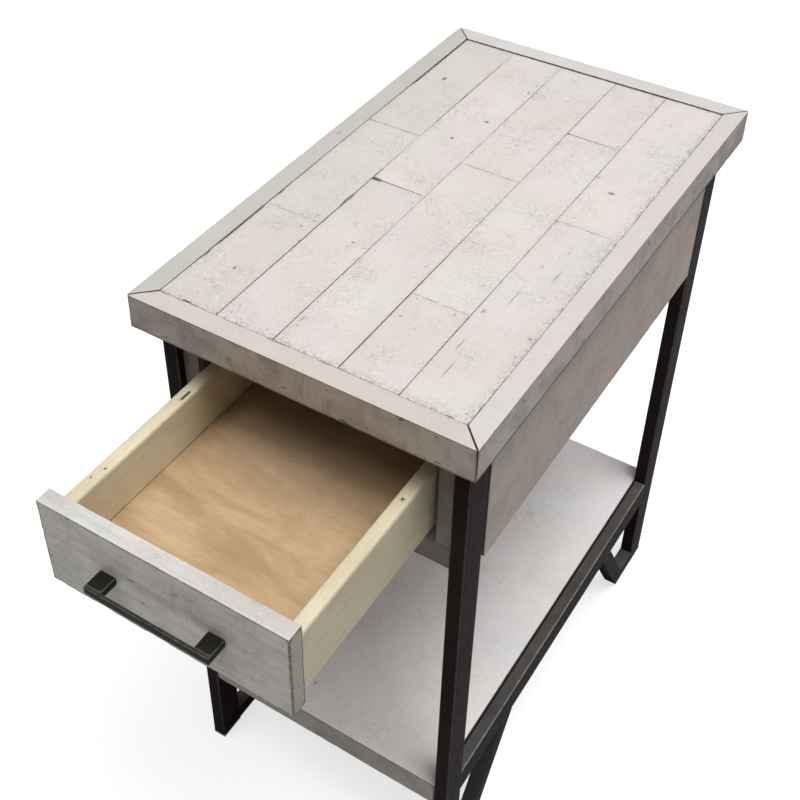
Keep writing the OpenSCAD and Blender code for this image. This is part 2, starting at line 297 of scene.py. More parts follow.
class Wash(Paint):
    """Wood under a white wash, over a darker glaze. Each method lays one kind of mark over those before."""

    def __init__(self, name, along, glaze):
        super().__init__(name)
        self.along = along
        self.glaze = glaze
        self.at = self.shifted()
        self.upright = self.maths("SUBTRACT", 1, self.facing_up())
        self.patches = self.noise(self.at, 24, detail=4, roughness=0.65)
        self.ragged = self.noise(self.at, 430, detail=4, roughness=0.7)

    def ground(self, pale, deep, cast):
        """Soft blotches, with the board's own tone and a hue that wanders."""
        blotch = self.noise(self.at, 13, detail=5, roughness=0.65)
        tone = self.between(self.own("tone"), -1, 1, -0.16, 0.16)
        self.colour = self.ramp(self.maths("ADD", blotch, tone), [(0.32, deep), (0.68, pale)])
        wander = self.between(self.noise(self.at, 9, detail=3), 0.3, 0.7, -0.28, 0.28)
        self.cover(cast, self.ramp(self.maths("ADD", self.own("cast"), wander), WASH_HUES), "MULTIPLY")

    def grain(self, strength, ring_tone):
        """Glaze in the streaks and rings of the grain. Gives the fine streaks."""
        fibre = self.drawn_out(self.at, self.along, 0.05)
        streaks = self.noise(fibre, 520, detail=5, roughness=0.65, distortion=0.6)
        broad = self.noise(fibre, 120, detail=3, roughness=0.55, distortion=1.2)
        self.cover(self.between(streaks, 0.42, 0.72, 0, strength), self.glaze)
        self.cover(self.between(broad, 0.52, 0.75, 0, strength * 0.8), self.glaze)
        rings = self.growth_rings(self.at, self.along, 0.10, scale=26, distortion=9)
        self.cover(self.between(rings, 0.0, 0.3, ring_tone, 0), self.glaze)
        return streaks

    def weathering(self, saw, crackle):
        """Saw marks, crackle and pale flakes, in patches."""
        saw_lines = self.between(self.bands(self.at, self.along, scale=95, distortion=3.5), 0.0, 0.35, 1, 0)
        sawn = self.times(self.between(self.patches, 0.5, 0.68), saw_lines)
        self.cover(self.times(sawn, 0.08 * saw), self.glaze)
        rough = self.between(self.patches, 0.42, 0.68)
        cracks = self.times(self.contour(self.at, 135, 0.03), rough)
        self.cover(self.times(cracks, 0.42 * crackle), self.glaze)
        flakes = self.between(self.noise(self.at, 210, detail=3, roughness=0.6), 0.60, 0.66)
        flakes = self.times(flakes, rough)
        self.cover(self.times(flakes, 0.55 * crackle), PALE_FLAKE)
        self.relief += [(sawn, 0.25 * saw), (cracks, 0.35 * crackle), (flakes, -0.4 * crackle)]

    def holes_and_dust(self, specks):
        """Worm holes, few of them large, and specks of dust."""
        at = self.drawn_out(self.at, self.along, 0.6)
        distance, own = self.cells(at, 48)
        size = self.maths("POWER", own, 5.0)
        past_rim = self.maths("SUBTRACT", distance, self.times(size, 0.085))
        hole = self.times(self.between(past_rim, -0.012, 0.008, 1, 0), self.between(size, 0.12, 0.3))
        dust = self.between(self.noise(at, 400, detail=3, roughness=0.65), 0.62, 0.69)
        dust = self.times(dust, self.between(self.patches, 0.38, 0.66, 0.15, 1))
        self.cover(self.times(dust, 0.42 * specks), self.glaze)
        self.cover(self.times(hole, 0.7 * specks), DARK)
        self.relief += [(hole, 1.2), (dust, 0.3)]

    def edge_marks(self, edge_dirt, face_line):
        """Glaze and dirt near the edges, dark arrises, and the stains and painted shadow lines that the mesh
        holds.
        """
        torn = self.between(self.ragged, 0.46, 0.62)
        self.cover(self.times(self.times(self.by_edge(6 * MM), torn), 0.20 * edge_dirt), self.glaze)
        grime = self.times(self.own("grime"), torn)
        self.cover(self.times(grime, 0.75), tinted(self.glaze, (0.72, 0.72, 0.72)))
        arris = self.times(self.by_edge(0.5 * MM), self.own("seam"))
        self.cover(self.times(arris, self.between(self.ragged, 0.3, 0.6, 0.45, 1)), DARK)
        broken = self.between(self.ragged, 0.4, 0.56, 0.5, 1)
        outline = self.times(self.times(self.by_edge(1.8 * MM, full=1.3 * MM), broken), self.upright)
        self.cover(self.times(outline, face_line), DARK)
        # Dark from the mesh's numbers: stains of knots and holes, and on the border strips the painted shadow
        # line along the bottom.
        self.cover(self.times(self.own("stain"), 0.9), (0.06, 0.048, 0.04))
        self.relief.append((grime, 0.5))

    def upright_marks(self, side_tint, end_tint, strength, pit_marks):
        """The tints of upright faces and end grain, with clouds, scratches and pits on the upright faces.
        Some finishes use these tints as painted shade, and the drawer front as painted light.
        """
        self.cover(self.upright, side_tint, "MULTIPLY")
        self.cover(self.facing(self.along), end_tint, "MULTIPLY")
        clouds = self.between(self.noise(self.at, 34, detail=5, roughness=0.7, distortion=0.4), 0.45, 0.66)
        clouds = self.times(self.times(self.upright, 0.55 * strength), clouds)
        self.cover(clouds, (0.56, 0.535, 0.53), "MULTIPLY")
        scratches = self.noise(self.drawn_out(self.at, Z, 0.10), 330, detail=3, roughness=0.6)
        scratches = self.times(self.between(scratches, 0.58, 0.70), self.between(self.patches, 0.46, 0.6))
        self.cover(self.times(self.times(scratches, self.upright), 0.40 * strength), self.glaze)
        pits = self.noise(self.drawn_out(self.at, self.along, 0.45), 150, detail=3, roughness=0.62)
        pits = self.times(self.between(pits, 0.66, 0.71), self.upright)
        self.cover(self.times(pits, 0.6 * strength * pit_marks), DARK)
        self.relief.append((pits, 0.8))


def washed_wood(name, along, pale, deep, glaze, grain=0.12, specks=1.0, saw=1.0, edge_dirt=1.0, crackle=1.0,
                cast=1.0, side_tint=(1, 1, 1), end_tint=(0.74, 0.71, 0.65), side_marks=1.0, pit_marks=1.0,
                ring_tone=0.0, face_line=0.0, roughness=0.5):
    """Whitewashed wood, its grain along an axis. All the numbers but roughness say how strong a mark is."""
    paint = Wash(name, along, glaze)
    paint.ground(pale, deep, cast)
    streaks = paint.grain(grain, ring_tone)
    paint.weathering(saw, crackle)
    paint.holes_and_dust(specks)
    paint.edge_marks(edge_dirt, face_line)
    paint.upright_marks(side_tint, end_tint, side_marks, pit_marks)
    return paint.finish(paint.between(streaks, 0.3, 0.7, roughness - 0.06, roughness + 0.12),
                        height=paint.times(streaks, 0.25), depth=0.45 * MM)


def bare_wood(name, along, pale, deep, streak, figure=0.5, speck=0.3, blotchy=0.5, swirl=0.0):
    """Unpainted wood or plywood, with a soft figure and short fine pores."""
    paint = Paint(name)
    at = paint.shifted()
    blotch = paint.noise(at, 14, detail=4, roughness=0.62, distortion=0.4)
    paint.colour = paint.ramp(blotch, [(0.5 - 0.3 * blotchy, deep), (0.5 + 0.3 * blotchy, pale)])
    rings = paint.growth_rings(at, along, 0.12, scale=22, distortion=7)
    paint.cover(paint.between(rings, 0.0, 0.6, 0.35 * figure, 0), streak)
    loops = paint.noise(paint.drawn_out(at, along, 0.4), 17, detail=5, roughness=0.6, distortion=2.2)
    paint.cover(paint.between(loops, 0.46, 0.66, 0, swirl), streak)
    grain = paint.noise(paint.drawn_out(at, along, 0.06), 420, detail=5, roughness=0.65, distortion=0.5)
    paint.cover(paint.between(grain, 0.45, 0.75, 0, 0.30), streak)
    pores = paint.between(paint.noise(paint.drawn_out(at, along, 0.12), 900, detail=2), 0.66, 0.74)
    paint.cover(paint.times(pores, speck), (0.20, 0.12, 0.06))
    paint.cover(paint.times(paint.by_edge(1.2 * MM), 0.3), streak)
    # Dark from the mesh's numbers: painted shade in the slots of the drawer sides, and the painted shadow
    # line where a side meets the bottom.
    paint.cover(paint.times(paint.own("stain"), 0.92), (0.035, 0.025, 0.02))
    paint.relief.append((pores, 0.5))
    return paint.finish(paint.between(grain, 0.3, 0.7, 0.50, 0.67),
                        height=paint.times(grain, 0.4), depth=0.3 * MM)


def coated_steel(name, body, warm, dust_and_sheen, rub_and_highlight, roughness=0.36, shine=0.02, rub_and_highlight_reach=1.9 * MM):
    """Dark coated steel: mottled coat, upward faces paler for settled dust and painted sheen, and edges paler
    for rubbing and painted highlights.
    """
    paint = Paint(name)
    at = paint.shifted()
    mottle = paint.noise(at, 22, detail=4, roughness=0.6, distortion=0.5)
    paint.colour = paint.ramp(mottle, [(0.35, body), (0.68, warm)])
    up = paint.facing_up()
    hue = paint.between(paint.noise(at, 8, detail=3), 0.42, 0.56)
    # Upward faces are paler: partly settled dust, partly painted sheen for the light they catch.
    dust = paint.mix(hue, dust_and_sheen, tinted(dust_and_sheen, (0.84, 0.93, 0.92)))
    paint.cover(paint.times(up, paint.between(mottle, 0.3, 0.7, 1.0, 0.55)), dust)
    scuff = paint.noise(at, 180, detail=4, roughness=0.7)
    # Edges are paler: partly rubbed coat, partly a painted highlight along the rounded arrises, strongest
    # where they face up.
    wear_and_highlight = paint.times(paint.by_edge(rub_and_highlight_reach), paint.between(scuff, 0.35, 0.6, 0.35, 1))
    paint.cover(paint.times(wear_and_highlight, paint.between(up, 0, 1, 0.26, 0.95)), rub_and_highlight)
    paint.cover(paint.between(scuff, 0.68, 0.80, 0, 0.2), rub_and_highlight)
    # Near black from the mesh's numbers: the painted shadow of the gap beside the shelf.
    paint.cover(paint.times(paint.own("stain"), 0.9), (0.012, 0.010, 0.009))
    paint.set("Specular IOR Level", shine)
    fine = paint.noise(at, 1100, detail=2)
    return paint.finish(paint.between(scuff, 0.3, 0.7, roughness - 0.06, roughness + 0.1),
                        height=paint.maths("ADD", fine, paint.times(scuff, 0.6)), depth=0.12 * MM)


def zinc_plate(name):
    """Bright zinc, with small crystals that differ in colour and gloss."""
    paint = Paint(name)
    crystals = paint.noise(paint.place(), 900, detail=3, roughness=0.6)
    paint.colour = paint.ramp(crystals, [(0.3, (0.42, 0.41, 0.38)), (0.7, (0.60, 0.60, 0.58))])
    paint.set("Metallic", 1.0)
    return paint.finish(paint.between(crystals, 0.3, 0.7, 0.28, 0.45), height=crystals, depth=0.05 * MM)


def moulded_nylon(name):
    """Pale nylon with a fine matt texture from its mould."""
    paint = Paint(name)
    cloud = paint.noise(paint.place(), 120, detail=3)
    fine = paint.noise(paint.place(), 1500, detail=2)
    paint.colour = paint.ramp(cloud, [(0.3, (0.66, 0.65, 0.61)), (0.7, (0.76, 0.75, 0.72))])
    return paint.finish(paint.between(fine, 0.3, 0.7, 0.42, 0.55), height=fine, depth=0.04 * MM)


# Meshes ---------------------------------------------------

ROUND_STEPS = (0, 0.15, 0.4, 0.7)  # where grid lines cross a rounded end, as shares of its radius
CLEAR = 0.25 * MM  # least distance of an even grid line from one that a mark needs
TINY = 1e-12  # stands in for a length of 0 in a division
SLACK = 1e-9  # a point is on a flat end if it is nearer to the core than the radius by more than this
SQUARE_STEPS = (-1.04, -1, -0.5, 0, 0.5, 1, 1.04)  # grid lines over a square dent, in half sizes
SOFT_STEPS = (-1.6, -1.1, -0.6, 0, 0.6, 1.1, 1.6)  # grid lines over a soft one
SQUARE_END = 1.01  # where a square dent ends, in half sizes
SOFT_FALL = 1.4  # how fast a soft dent fades away from its middle
FACING = 0.6  # least part of a point's outward direction along the axis that it counts as facing
SEAM = 0.6  # the gap between planks that the frame has, in mm
SEAM_SIDE = 2 * MM  # how far from a seam its darkness goes
END_REACH = 1 * MM  # how far from a board's end its dark edge goes
FOOT = 2.2 * MM  # height of the dark band along the bottom of some boards, a painted shadow line
FOOT_FADE = 0.4 * MM  # how soon that band ends
CHIP_REACH = 1.6 * MM  # how far in from an edge its chips fade


def grid_lines(low, high, radius, cell, extra):
    """Places of the grid lines along one axis: close together over the rounded ends, and about a cell apart
    between, with the extra ones that marks need."""
    edge = [radius * share for share in ROUND_STEPS]
    inner_low, inner_high = low + radius, high - radius
    count = max(1, round((inner_high - inner_low) / cell))
    even = [inner_low + (inner_high - inner_low) * i / count for i in range(count + 1)]
    wanted = [place for place in extra if inner_low < place < inner_high]
    kept = [place for place in even if all(abs(place - other) > CLEAR for other in wanted)]
    return sorted([low + step for step in edge] + kept + wanted + [high - step for step in edge])


def box_shell(lines):
    """Vertices and outward quads of the surface of a box that is cut along three sets of grid lines."""
    index, points, quads = {}, [], []
    ends = [len(places) - 1 for places in lines]
    for axis in (X, Y, Z):
        u, v = (axis + 1) % 3, (axis + 2) % 3
        for end in (0, ends[axis]):
            for a in range(ends[u]):
                for b in range(ends[v]):
                    corners = [(a, b), (a + 1, b), (a + 1, b + 1), (a, b + 1)]
                    quad = []
                    for corner in corners if end else corners[::-1]:
                        key = [end, end, end]
                        key[u], key[v] = corner
                        key = tuple(key)
                        if key not in index:
                            index[key] = len(points)
                            points.append([lines[i][key[i]] for i in (X, Y, Z)])
                        quad.append(index[key])
                    quads.append(quad)
    return np.array(points), quads


def rounded(points, low, high, radius, flat_ends):
    """Moves the points of a box's surface onto a box with rounded edges. Gives them and their outward
    directions. The two ends along the axis flat_ends, if any, stay flat."""
    inner_low, inner_high = low + radius, high - radius
    if flat_ends is not None:
        inner_low[flat_ends], inner_high[flat_ends] = low[flat_ends], high[flat_ends]
    core = np.clip(points, inner_low, inner_high)
    out = points - core
    reach = np.abs(out).max(1)
    outward = out / np.maximum(np.linalg.norm(out, axis=1), TINY)[:, None]
    moved = core + outward * reach[:, None]
    if flat_ends is not None:
        cap = reach < radius - SLACK
        middle = (low[flat_ends] + high[flat_ends]) / 2
        outward[cap] = 0
        outward[cap, flat_ends] = np.sign(points[cap, flat_ends] - middle)
    return moved, outward


def edge_distance(points, low, high):
    """How far each point of a box's surface is from the box's nearest edge."""
    gaps = np.sort(np.minimum(points - low, high - points), axis=1)
    return gaps[:, 1]


def noise_at(points, scale, shift=0.0):
    stretched = points * np.array(scale) + shift
    return np.array([noise.noise(Vector(point)) for point in stretched])


def store(mesh, name, values):
    """Keeps a number at each point of a mesh, or the same one at all of them, for its material to read."""
    attribute = mesh.attributes.new(name, "FLOAT", "POINT")
    attribute.data.foreach_set("value", np.full(len(mesh.vertices), values, np.float32))


class Dent:
    """A mark in a board's face: its middle, its half sizes along the face's two axes, its depth in mm and how
    dark it is. The dark stands for stains in knots and holes, and is painted shade in slots and painted
    shadow along gaps. A square one has sharp sides, and side says which of the two faces it is in."""

    def __init__(self, axes, middle, half, depth, stain=1.0, square=False, side=1):
        self.axes, self.middle, self.half, self.side = axes, middle, half, side
        self.depth, self.stain, self.square = depth, stain, square

    def lines(self, axis):
        """Places of the grid lines along one axis that the mark needs."""
        if axis not in self.axes:
            return []
        which = self.axes.index(axis)
        steps = SQUARE_STEPS if self.square else SOFT_STEPS
        return [self.middle[which] + self.half[which] * step for step in steps]

    def strength(self, points, outward):
        """1 in the middle of the mark, and 0 away from it or on another face."""
        u, v = self.axes
        facing = X + Y + Z - u - v
        du = (points[:, u] - self.middle[0]) / self.half[0]
        dv = (points[:, v] - self.middle[1]) / self.half[1]
        if self.square:
            inside = (np.maximum(np.abs(du), np.abs(dv)) < SQUARE_END).astype(float)
        else:
            inside = np.exp(-SOFT_FALL * (du * du + dv * dv))
        return inside * (outward[:, facing] * self.side > FACING)


class Seam:
    """The side of a board along a seam: which way it faces, how wide the seam stands open from one end of its
    span to the other, in mm, and how much of a change in that width this board takes."""

    def __init__(self, axis, side, widths, span, share=0.5):
        self.axis, self.side, self.widths, self.span, self.share = axis, side, widths, span, share

    def width(self, points):
        """How wide the seam is beside each point, in mm, with a little unevenness."""
        across = points[:, Y if self.axis == X else X]
        even = np.interp(across, np.linspace(*self.span, len(self.widths)), self.widths)
        return even * np.clip(1 + 0.25 * noise_at(points, (60, 60, 0)), 0.85, 1.15)


def chipped(points, edge, depth, shift):
    """How deep each point lies for the broad chips and small nicks along a board's edges."""
    chip = np.maximum(0, noise_at(points, (90, 90, 90), shift) - 0.05)
    nick = np.maximum(0, noise_at(points, (260, 260, 260), shift + 3) - 0.25)
    return depth * np.exp(-edge / CHIP_REACH) * (chip * 1.6 + nick * 1.2)


def brushed(points, along, depth, shift):
    """How deep each point lies for the grain that was brushed out of a board."""
    scale = [240, 240, 240]
    scale[along] = 14
    return depth * np.clip(0.5 + noise_at(points, scale, shift + 11), 0, 1)


def make_board(name, node, body, material, low=None, high=None, radius=1.0 * MM, cell=(4, 4, 4),
               wear=0.35, brush=0.0, sink=0.0, along=Y, flat_ends=None, dents=(), seams=(), seam_tone=0.3,
               dark_foot=0.0, dark_ends=False, shape=None, grime=None, tone=None, cast=None):
    """A solid board with worn rounded edges in a CAD node's place, or between low and high.

    In mm: cell, the mesh's cells along X, Y and Z; wear, how deep the edges are chipped; brush, how deep the
    grain is brushed; sink, how far the top lies low. seam_tone, dark_foot and dark_ends darken the edges, the
    bottom and the ends. shape moves the finished points. grime and cast give a number for each point. tone
    says how pale the board is, from -1 to 1, and is drawn at random where it is None."""
    node_low, node_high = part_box(node)
    low = np.array(node_low if low is None else low, float)
    high = np.array(node_high if high is None else high, float)
    lines = []
    for axis in (X, Y, Z):
        extra = [place for dent in dents for place in dent.lines(axis)]
        if dark_foot and axis == Z:
            extra += [low[Z] + FOOT, low[Z] + FOOT + FOOT_FADE]
        lines.append(grid_lines(low[axis], high[axis], radius, cell[axis] * MM, extra))
    flat, quads = box_shell(lines)
    edge = edge_distance(flat, low, high)
    points, outward = rounded(flat, low, high, radius, flat_ends)
    seed = random.Random(name)
    shift = seed.uniform(0, 9)

    inward = np.zeros(len(points))
    if wear:
        inward += chipped(points, edge, wear * MM, shift)
    if brush:
        inward += brushed(points, along, brush * MM, shift)
    inward += sink * MM * (outward[:, Z] > 0.5)
    # The band along the bottom is a painted shadow line. The dents add their own dark, which stands for
    # stains in knots and holes, and is painted shade in slots and painted shadow along gaps.
    stain = np.where(flat[:, Z] - low[Z] < FOOT + FOOT_FADE / 4, dark_foot, 0.0)
    for dent in dents:
        strength = dent.strength(points, outward)
        inward += dent.depth * MM * strength
        stain = np.maximum(stain, dent.stain * np.clip(strength * 1.3, 0, 1))
    moved = points - outward * inward[:, None]

    dark_seam = np.full(len(points), seam_tone)
    if dark_ends:
        end_gap = np.minimum(flat[:, along] - low[along], high[along] - flat[:, along])
        dark_seam[(end_gap < END_REACH) & (outward[:, Z] > 0.3)] = 1
    for seam in seams:
        width = seam.width(points)
        faces_it = np.clip(outward[:, seam.axis] * seam.side * 4, 0, 1)
        moved[:, seam.axis] -= seam.side * faces_it * (width - SEAM) * MM * seam.share
        away = np.abs(flat[:, seam.axis] - (high if seam.side > 0 else low)[seam.axis])
        dark_seam = np.where(away < SEAM_SIDE, np.clip(width / SEAM - 0.1, 0, 1), dark_seam)

    mesh = bpy.data.meshes.new(name)
    mesh.from_pydata((shape(moved) if shape else moved).tolist(), [], quads)
    mesh.validate()
    mesh.polygons.foreach_set("use_smooth", [True] * len(mesh.polygons))
    own_tone = seed.uniform(-1, 1)
    store(mesh, "near_edge", np.clip(1 - edge / EDGE_REACH, 0, 1))
    store(mesh, "stain", stain)
    store(mesh, "seam", dark_seam)
    store(mesh, "grime", grime(flat) if grime else 0)
    store(mesh, "tone", own_tone if tone is None else tone)
    store(mesh, "cast", cast(flat) if cast else 0.5)
    store(mesh, "shift", shift)
    mesh.materials.append(material)
    piece = bpy.data.objects.new(name, mesh)
    bpy.context.scene.collection.objects.link(piece)
    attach(piece, body)
    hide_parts(node)


def keep_node(node, material, radius=0.0):
    """A CAD node that is shown in its own shape, with its edges softened if radius isn't 0."""
    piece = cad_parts[node]
    piece.data.materials.clear()
    piece.data.materials.append(material)
    if radius:
        bevel = piece.modifiers.new("soft_edges", "BEVEL")
        bevel.width = radius
        bevel.segments = 2
        bevel.limit_method = "ANGLE"
        bevel.angle_limit = math.radians(40)


# The top --------------------------------------------------

FIELD_LOW, FIELD_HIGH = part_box("top_core")  # the planks lie on the core, inside the border

TOP_WASH = dict(pale=(0.715, 0.675, 0.655), deep=(0.645, 0.61, 0.58), glaze=(0.30, 0.25, 0.215), grain=0.05,
                side_tint=(0.68, 0.64, 0.62), roughness=0.46)
BORDER_TINTS = {"left": (0.81, 0.85, 0.815), "back": (0.95, 0.98, 1.0),
                "front": (0.905, 0.895, 0.885), "right": (0.91, 0.91, 0.925)}

# The planks of each row from front to back. The rows come from left to right.
PLANK_ROWS = (("front", "mid", "back"), ("front", "back"), ("front", "back"),
              ("front", "mid", "back"), ("front", "back"))

# How pale each plank is, from -1 to 1.
PLANK_TONES = {"plank_1_front": -0.9, "plank_1_mid": -0.8, "plank_1_back": -0.7,
               "plank_2_front": 0.0, "plank_2_back": 0.5,
               "plank_3_front": 0.3, "plank_3_back": 0.2,
               "plank_4_front": -0.3, "plank_4_mid": 0.4, "plank_4_back": 0.6,
               "plank_5_front": 0.0, "plank_5_back": 0.8}
MOST_SINK = 0.2  # how far the lowest plank may lie below the highest, in mm

# Knots, worm holes and cracks that stand out, in mm from the middle of the top: place across and along the
# table, half sizes the same two ways, and depth. The last number is how dark it is, up to 1.
TOP_MARKS = [
    (101, 67, 3.0, 1.7, 0.9, 1.0), (-42, 111, 2.1, 1.6, 0.7, 1.0), (-44, -108, 1.8, 1.3, 0.6, 0.7),
    (-92, -112, 1.6, 1.2, 0.6, 0.7), (-89, -92, 1.5, 1.0, 0.5, 0.7), (-130, -105, 1.0, 0.8, 0.5, 0.8),
    (-124, -98, 2.6, 0.8, 0.3, 0.4), (-117, -42, 2.2, 0.9, 0.3, 0.4), (-73, -230, 0.8, 0.8, 0.6, 1.0),
    (-39, -232, 1.0, 0.8, 0.5, 0.7), (-24, -208, 1.2, 3.5, 0.4, 0.5), (-23, -216, 1.5, 1.2, 0.4, 0.5),
    (-129, 63, 0.9, 0.8, 0.5, 0.7), (-130, -3, 1.0, 0.7, 0.4, 0.6), (-72, 20, 1.1, 1.0, 0.5, 0.6),
    (-37, 37, 1.0, 0.9, 0.4, 0.5), (-32, -35, 1.0, 0.8, 0.5, 0.6), (-23, -108, 1.0, 0.8, 0.5, 0.6),
    (21, -104, 0.9, 0.7, 0.5, 0.8), (36, -166, 1.2, 1.1, 0.5, 0.6), (36, -142, 0.9, 0.8, 0.4, 0.6),
    (69, -143, 1.1, 0.8, 0.5, 0.8), (85, -127, 1.6, 2.8, 0.5, 0.6), (76, 137, 1.2, 1.0, 0.6, 0.9),
    (70, 10, 0.9, 0.8, 0.4, 0.5), (90, 18, 0.9, 0.8, 0.5, 0.7), (82, 83, 1.0, 2.4, 0.4, 0.6),
    (129, -137, 1.9, 1.0, 0.5, 0.8), (129, -160, 1.1, 0.8, 0.4, 0.6), (131, -44, 1.3, 1.2, 0.5, 0.7),
    (108, -27, 0.8, 4.5, 0.3, 0.35), (98, -55, 1.2, 1.4, 0.4, 0.5), (97, -100, 0.5, 13.0, 0.3, 0.6),
    (95, -198, 0.5, 12.0, 0.3, 0.6), (113, -61, 0.5, 9.0, 0.3, 0.6), (128, -230, 1.0, 0.8, 0.5, 0.8),
    (131, 164, 1.1, 3.0, 0.4, 0.6), (127, 151, 0.9, 1.2, 0.4, 0.6), (89, -170, 0.5, 8.0, 0.4, 0.6),
]

# How wide the seams stand open, in mm. The long ones go from front to back and come from left to right, with
# the borders first and last. The others go from left to right. A joint is the seam behind its plank.
LONG_SEAMS = [
    (0.45, 0.75, 0.55, 0.25, 0.7, 0.85),
    (0.4, 0.5, 0.65, 0.06, 0.5, 0.08),
    (0.4, 0.45, 0.04, 0.1, 0.25, 0.04),
    (0.6, 0.6, 0.25, 0.08, 0.25, 0.12),
    (0.2, 0.42, 0.1, 0.25, 0.2, 0.3),
    (0.65, 0.5, 0.4, 0.45, 0.4, 0.55),
]
FRONT_SEAM = (0.62, 0.52, 0.52, 0.45, 0.62)
BACK_SEAM = (1.3, 1.2, 1.35, 1.1, 1.2, 0.9)
JOINTS = {"plank_1_front": (0.05, 0.05), "plank_1_mid": (0.1, 0.15), "plank_2_front": (0.75, 0.35, 0.02),
          "plank_3_front": (0.05, 0.12), "plank_4_front": (0.05, 0.08), "plank_4_mid": (0.6, 0.2),
          "plank_5_front": (0.04, 0.06)}
# How wide each mitre of the border stands open at the top, in mm.
MITRES = {("front", "right"): 1.5, ("front", "left"): 1.6, ("back", "right"): 1.4, ("back", "left"): 1.3}
MITRE_FOOT = 0.1  # how wide it is at the foot, as a share of that
GRIME_REACH = 3.5 * MM  # how far from the border the dirt on the planks goes


def border_grime(points):
    """Dirt that lies on the planks beside the border, most of it at the right and the front."""
    away = ((0.35, points[:, X] - FIELD_LOW.x), (1.0, FIELD_HIGH.x - points[:, X]),
            (1.0, points[:, Y] - FIELD_LOW.y), (0.3, FIELD_HIGH.y - points[:, Y]))
    return np.clip(np.max([share * np.exp(-gap / GRIME_REACH) for share, gap in away], axis=0), 0, 1)


def top_cast(points):
    """The hue of the wash on the planks: faintly green at the left, then pink, and cool at the back right."""
    across = (points[:, X] - FIELD_LOW.x) / (FIELD_HIGH.x - FIELD_LOW.x)
    length = (points[:, Y] - FIELD_LOW.y) / (FIELD_HIGH.y - FIELD_LOW.y)
    pink_front = 0.8 * np.clip(0.35 - length, 0, 1)
    cool_corner = 0.4 * np.clip(across + length - 1.15, 0, 1)
    return np.clip(0.1 + 1.3 * across + pink_front, 0, 0.5) + cool_corner


def plank_dents(low, high):
    """The marks of the top that lie on one plank."""
    middle = (FIELD_LOW + FIELD_HIGH) / 2
    dents = []
    for x, y, half_x, half_y, depth, stain in TOP_MARKS:
        at_x, at_y = middle.x + x * MM, middle.y + y * MM
        if low.x < at_x < high.x and low.y < at_y < high.y:
            dents.append(Dent((X, Y), (at_x, at_y), (half_x * MM, half_y * MM), depth, stain))
    return dents


def build_row(row, paint):
    """One row of planks from front to back."""
    long_span, cross_span = (FIELD_LOW.y, FIELD_HIGH.y), (FIELD_LOW.x, FIELD_HIGH.x)
    last_row = len(PLANK_ROWS) - 1
    left = Seam(X, -1, LONG_SEAMS[row], long_span, share=1.0 if row == 0 else 0.5)
    right = Seam(X, 1, LONG_SEAMS[row + 1], long_span, share=1.0 if row == last_row else 0.5)
    before = Seam(Y, -1, FRONT_SEAM, cross_span, share=1.0)
    for place in PLANK_ROWS[row]:
        node = f"plank_{row + 1}_{place}"
        low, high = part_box(node)
        own_span = (low.x, high.x)
        if node in JOINTS:
            after = Seam(Y, 1, JOINTS[node], own_span)
        else:
            after = Seam(Y, 1, BACK_SEAM, cross_span, share=1.0)
        make_board("top_" + node, node, "table", paint, radius=0.4 * MM, cell=(2, 3, 3),
                   wear=0.35, brush=0.12, sink=random.Random(node).uniform(0, MOST_SINK),
                   dents=plank_dents(low, high), seams=(left, right, before, after),
                   grime=border_grime, tone=PLANK_TONES[node], cast=top_cast)
        before = Seam(Y, -1, after.widths, own_span)


def build_border(side):
    """One strip of the border, mitred at both ends."""
    along, across = (X, Y) if side in ("front", "back") else (Y, X)
    ends = ("left", "right") if along == X else ("front", "back")
    tint = BORDER_TINTS[side]
    wash = dict(TOP_WASH, pale=tinted(TOP_WASH["pale"], tint), deep=tinted(TOP_WASH["deep"], tint),
                grain=0.06, edge_dirt=0.5, specks=0.3, saw=0.3, crackle=0.3, side_marks=1.5, face_line=0.4,
                side_tint=(0.88, 0.85, 0.82) if along == X else (0.88, 0.84, 0.82))
    node = "edge_" + side
    low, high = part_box(node)
    middle = (low + high) / 2
    outer = (low if side in ("front", "left") else high)[across]
    half = (high[along] - low[along]) / 2
    gaps = [MITRES.get((side, end)) or MITRES[(end, side)] for end in ends]

    def mitre(points):
        """Draws the ends in by as much as a point is away from the strip's outer face, and by half the gap,
        which is wider towards the top."""
        made = points.copy()
        share = (points[:, along] - middle[along]) / half
        height = (points[:, Z] - low.z) / (high.z - low.z)
        gap = np.where(share < 0, gaps[0], gaps[1]) * MM / 2 * (MITRE_FOOT + (1 - MITRE_FOOT) * height)
        made[:, along] -= share * (np.abs(points[:, across] - outer) + gap)
        return made

    # The dark band along the foot of the strips is a painted shadow line under the top's edge, strong on the
    # left and right strips.
    make_board("top_" + node, node, "table",
               washed_wood("whitewashed_border_" + side, along, **wash), radius=0.5 * MM,
               cell=(3, 2, 3) if along == X else (2, 3, 3), wear=0.45, brush=0.08, along=along, shape=mitre,
               dark_foot=0.25 if along == X else 0.95, dark_ends=True)


def build_top():
    planks = washed_wood("whitewashed_planks", Y, **TOP_WASH)
    for row in range(len(PLANK_ROWS)):
        build_row(row, planks)
    for side in ("front", "back", "left", "right"):
        build_border(side)
    core = bare_wood("core_board", Y, pale=(0.19, 0.14, 0.10), deep=(0.14, 0.10, 0.07),
                     streak=(0.10, 0.07, 0.05))
    keep_node("top_core", core)


# The case -------------------------------------------------

CASE_WASH = dict(pale=(0.66, 0.61, 0.555), deep=(0.57, 0.525, 0.475), glaze=(0.26, 0.225, 0.19), grain=0.07,
                 specks=0.4, saw=0.3, crackle=0.3, edge_dirt=0.7, side_tint=(0.97, 0.92, 0.905),
                 side_marks=0.7, pit_marks=0.3, roughness=0.5)
# Painted shade: the stiles' upright faces are tinted much darker for the shade they stand in beside the open
# drawer and under the top.
STILE_WASH = dict(CASE_WASH, side_tint=(0.37, 0.35, 0.315))
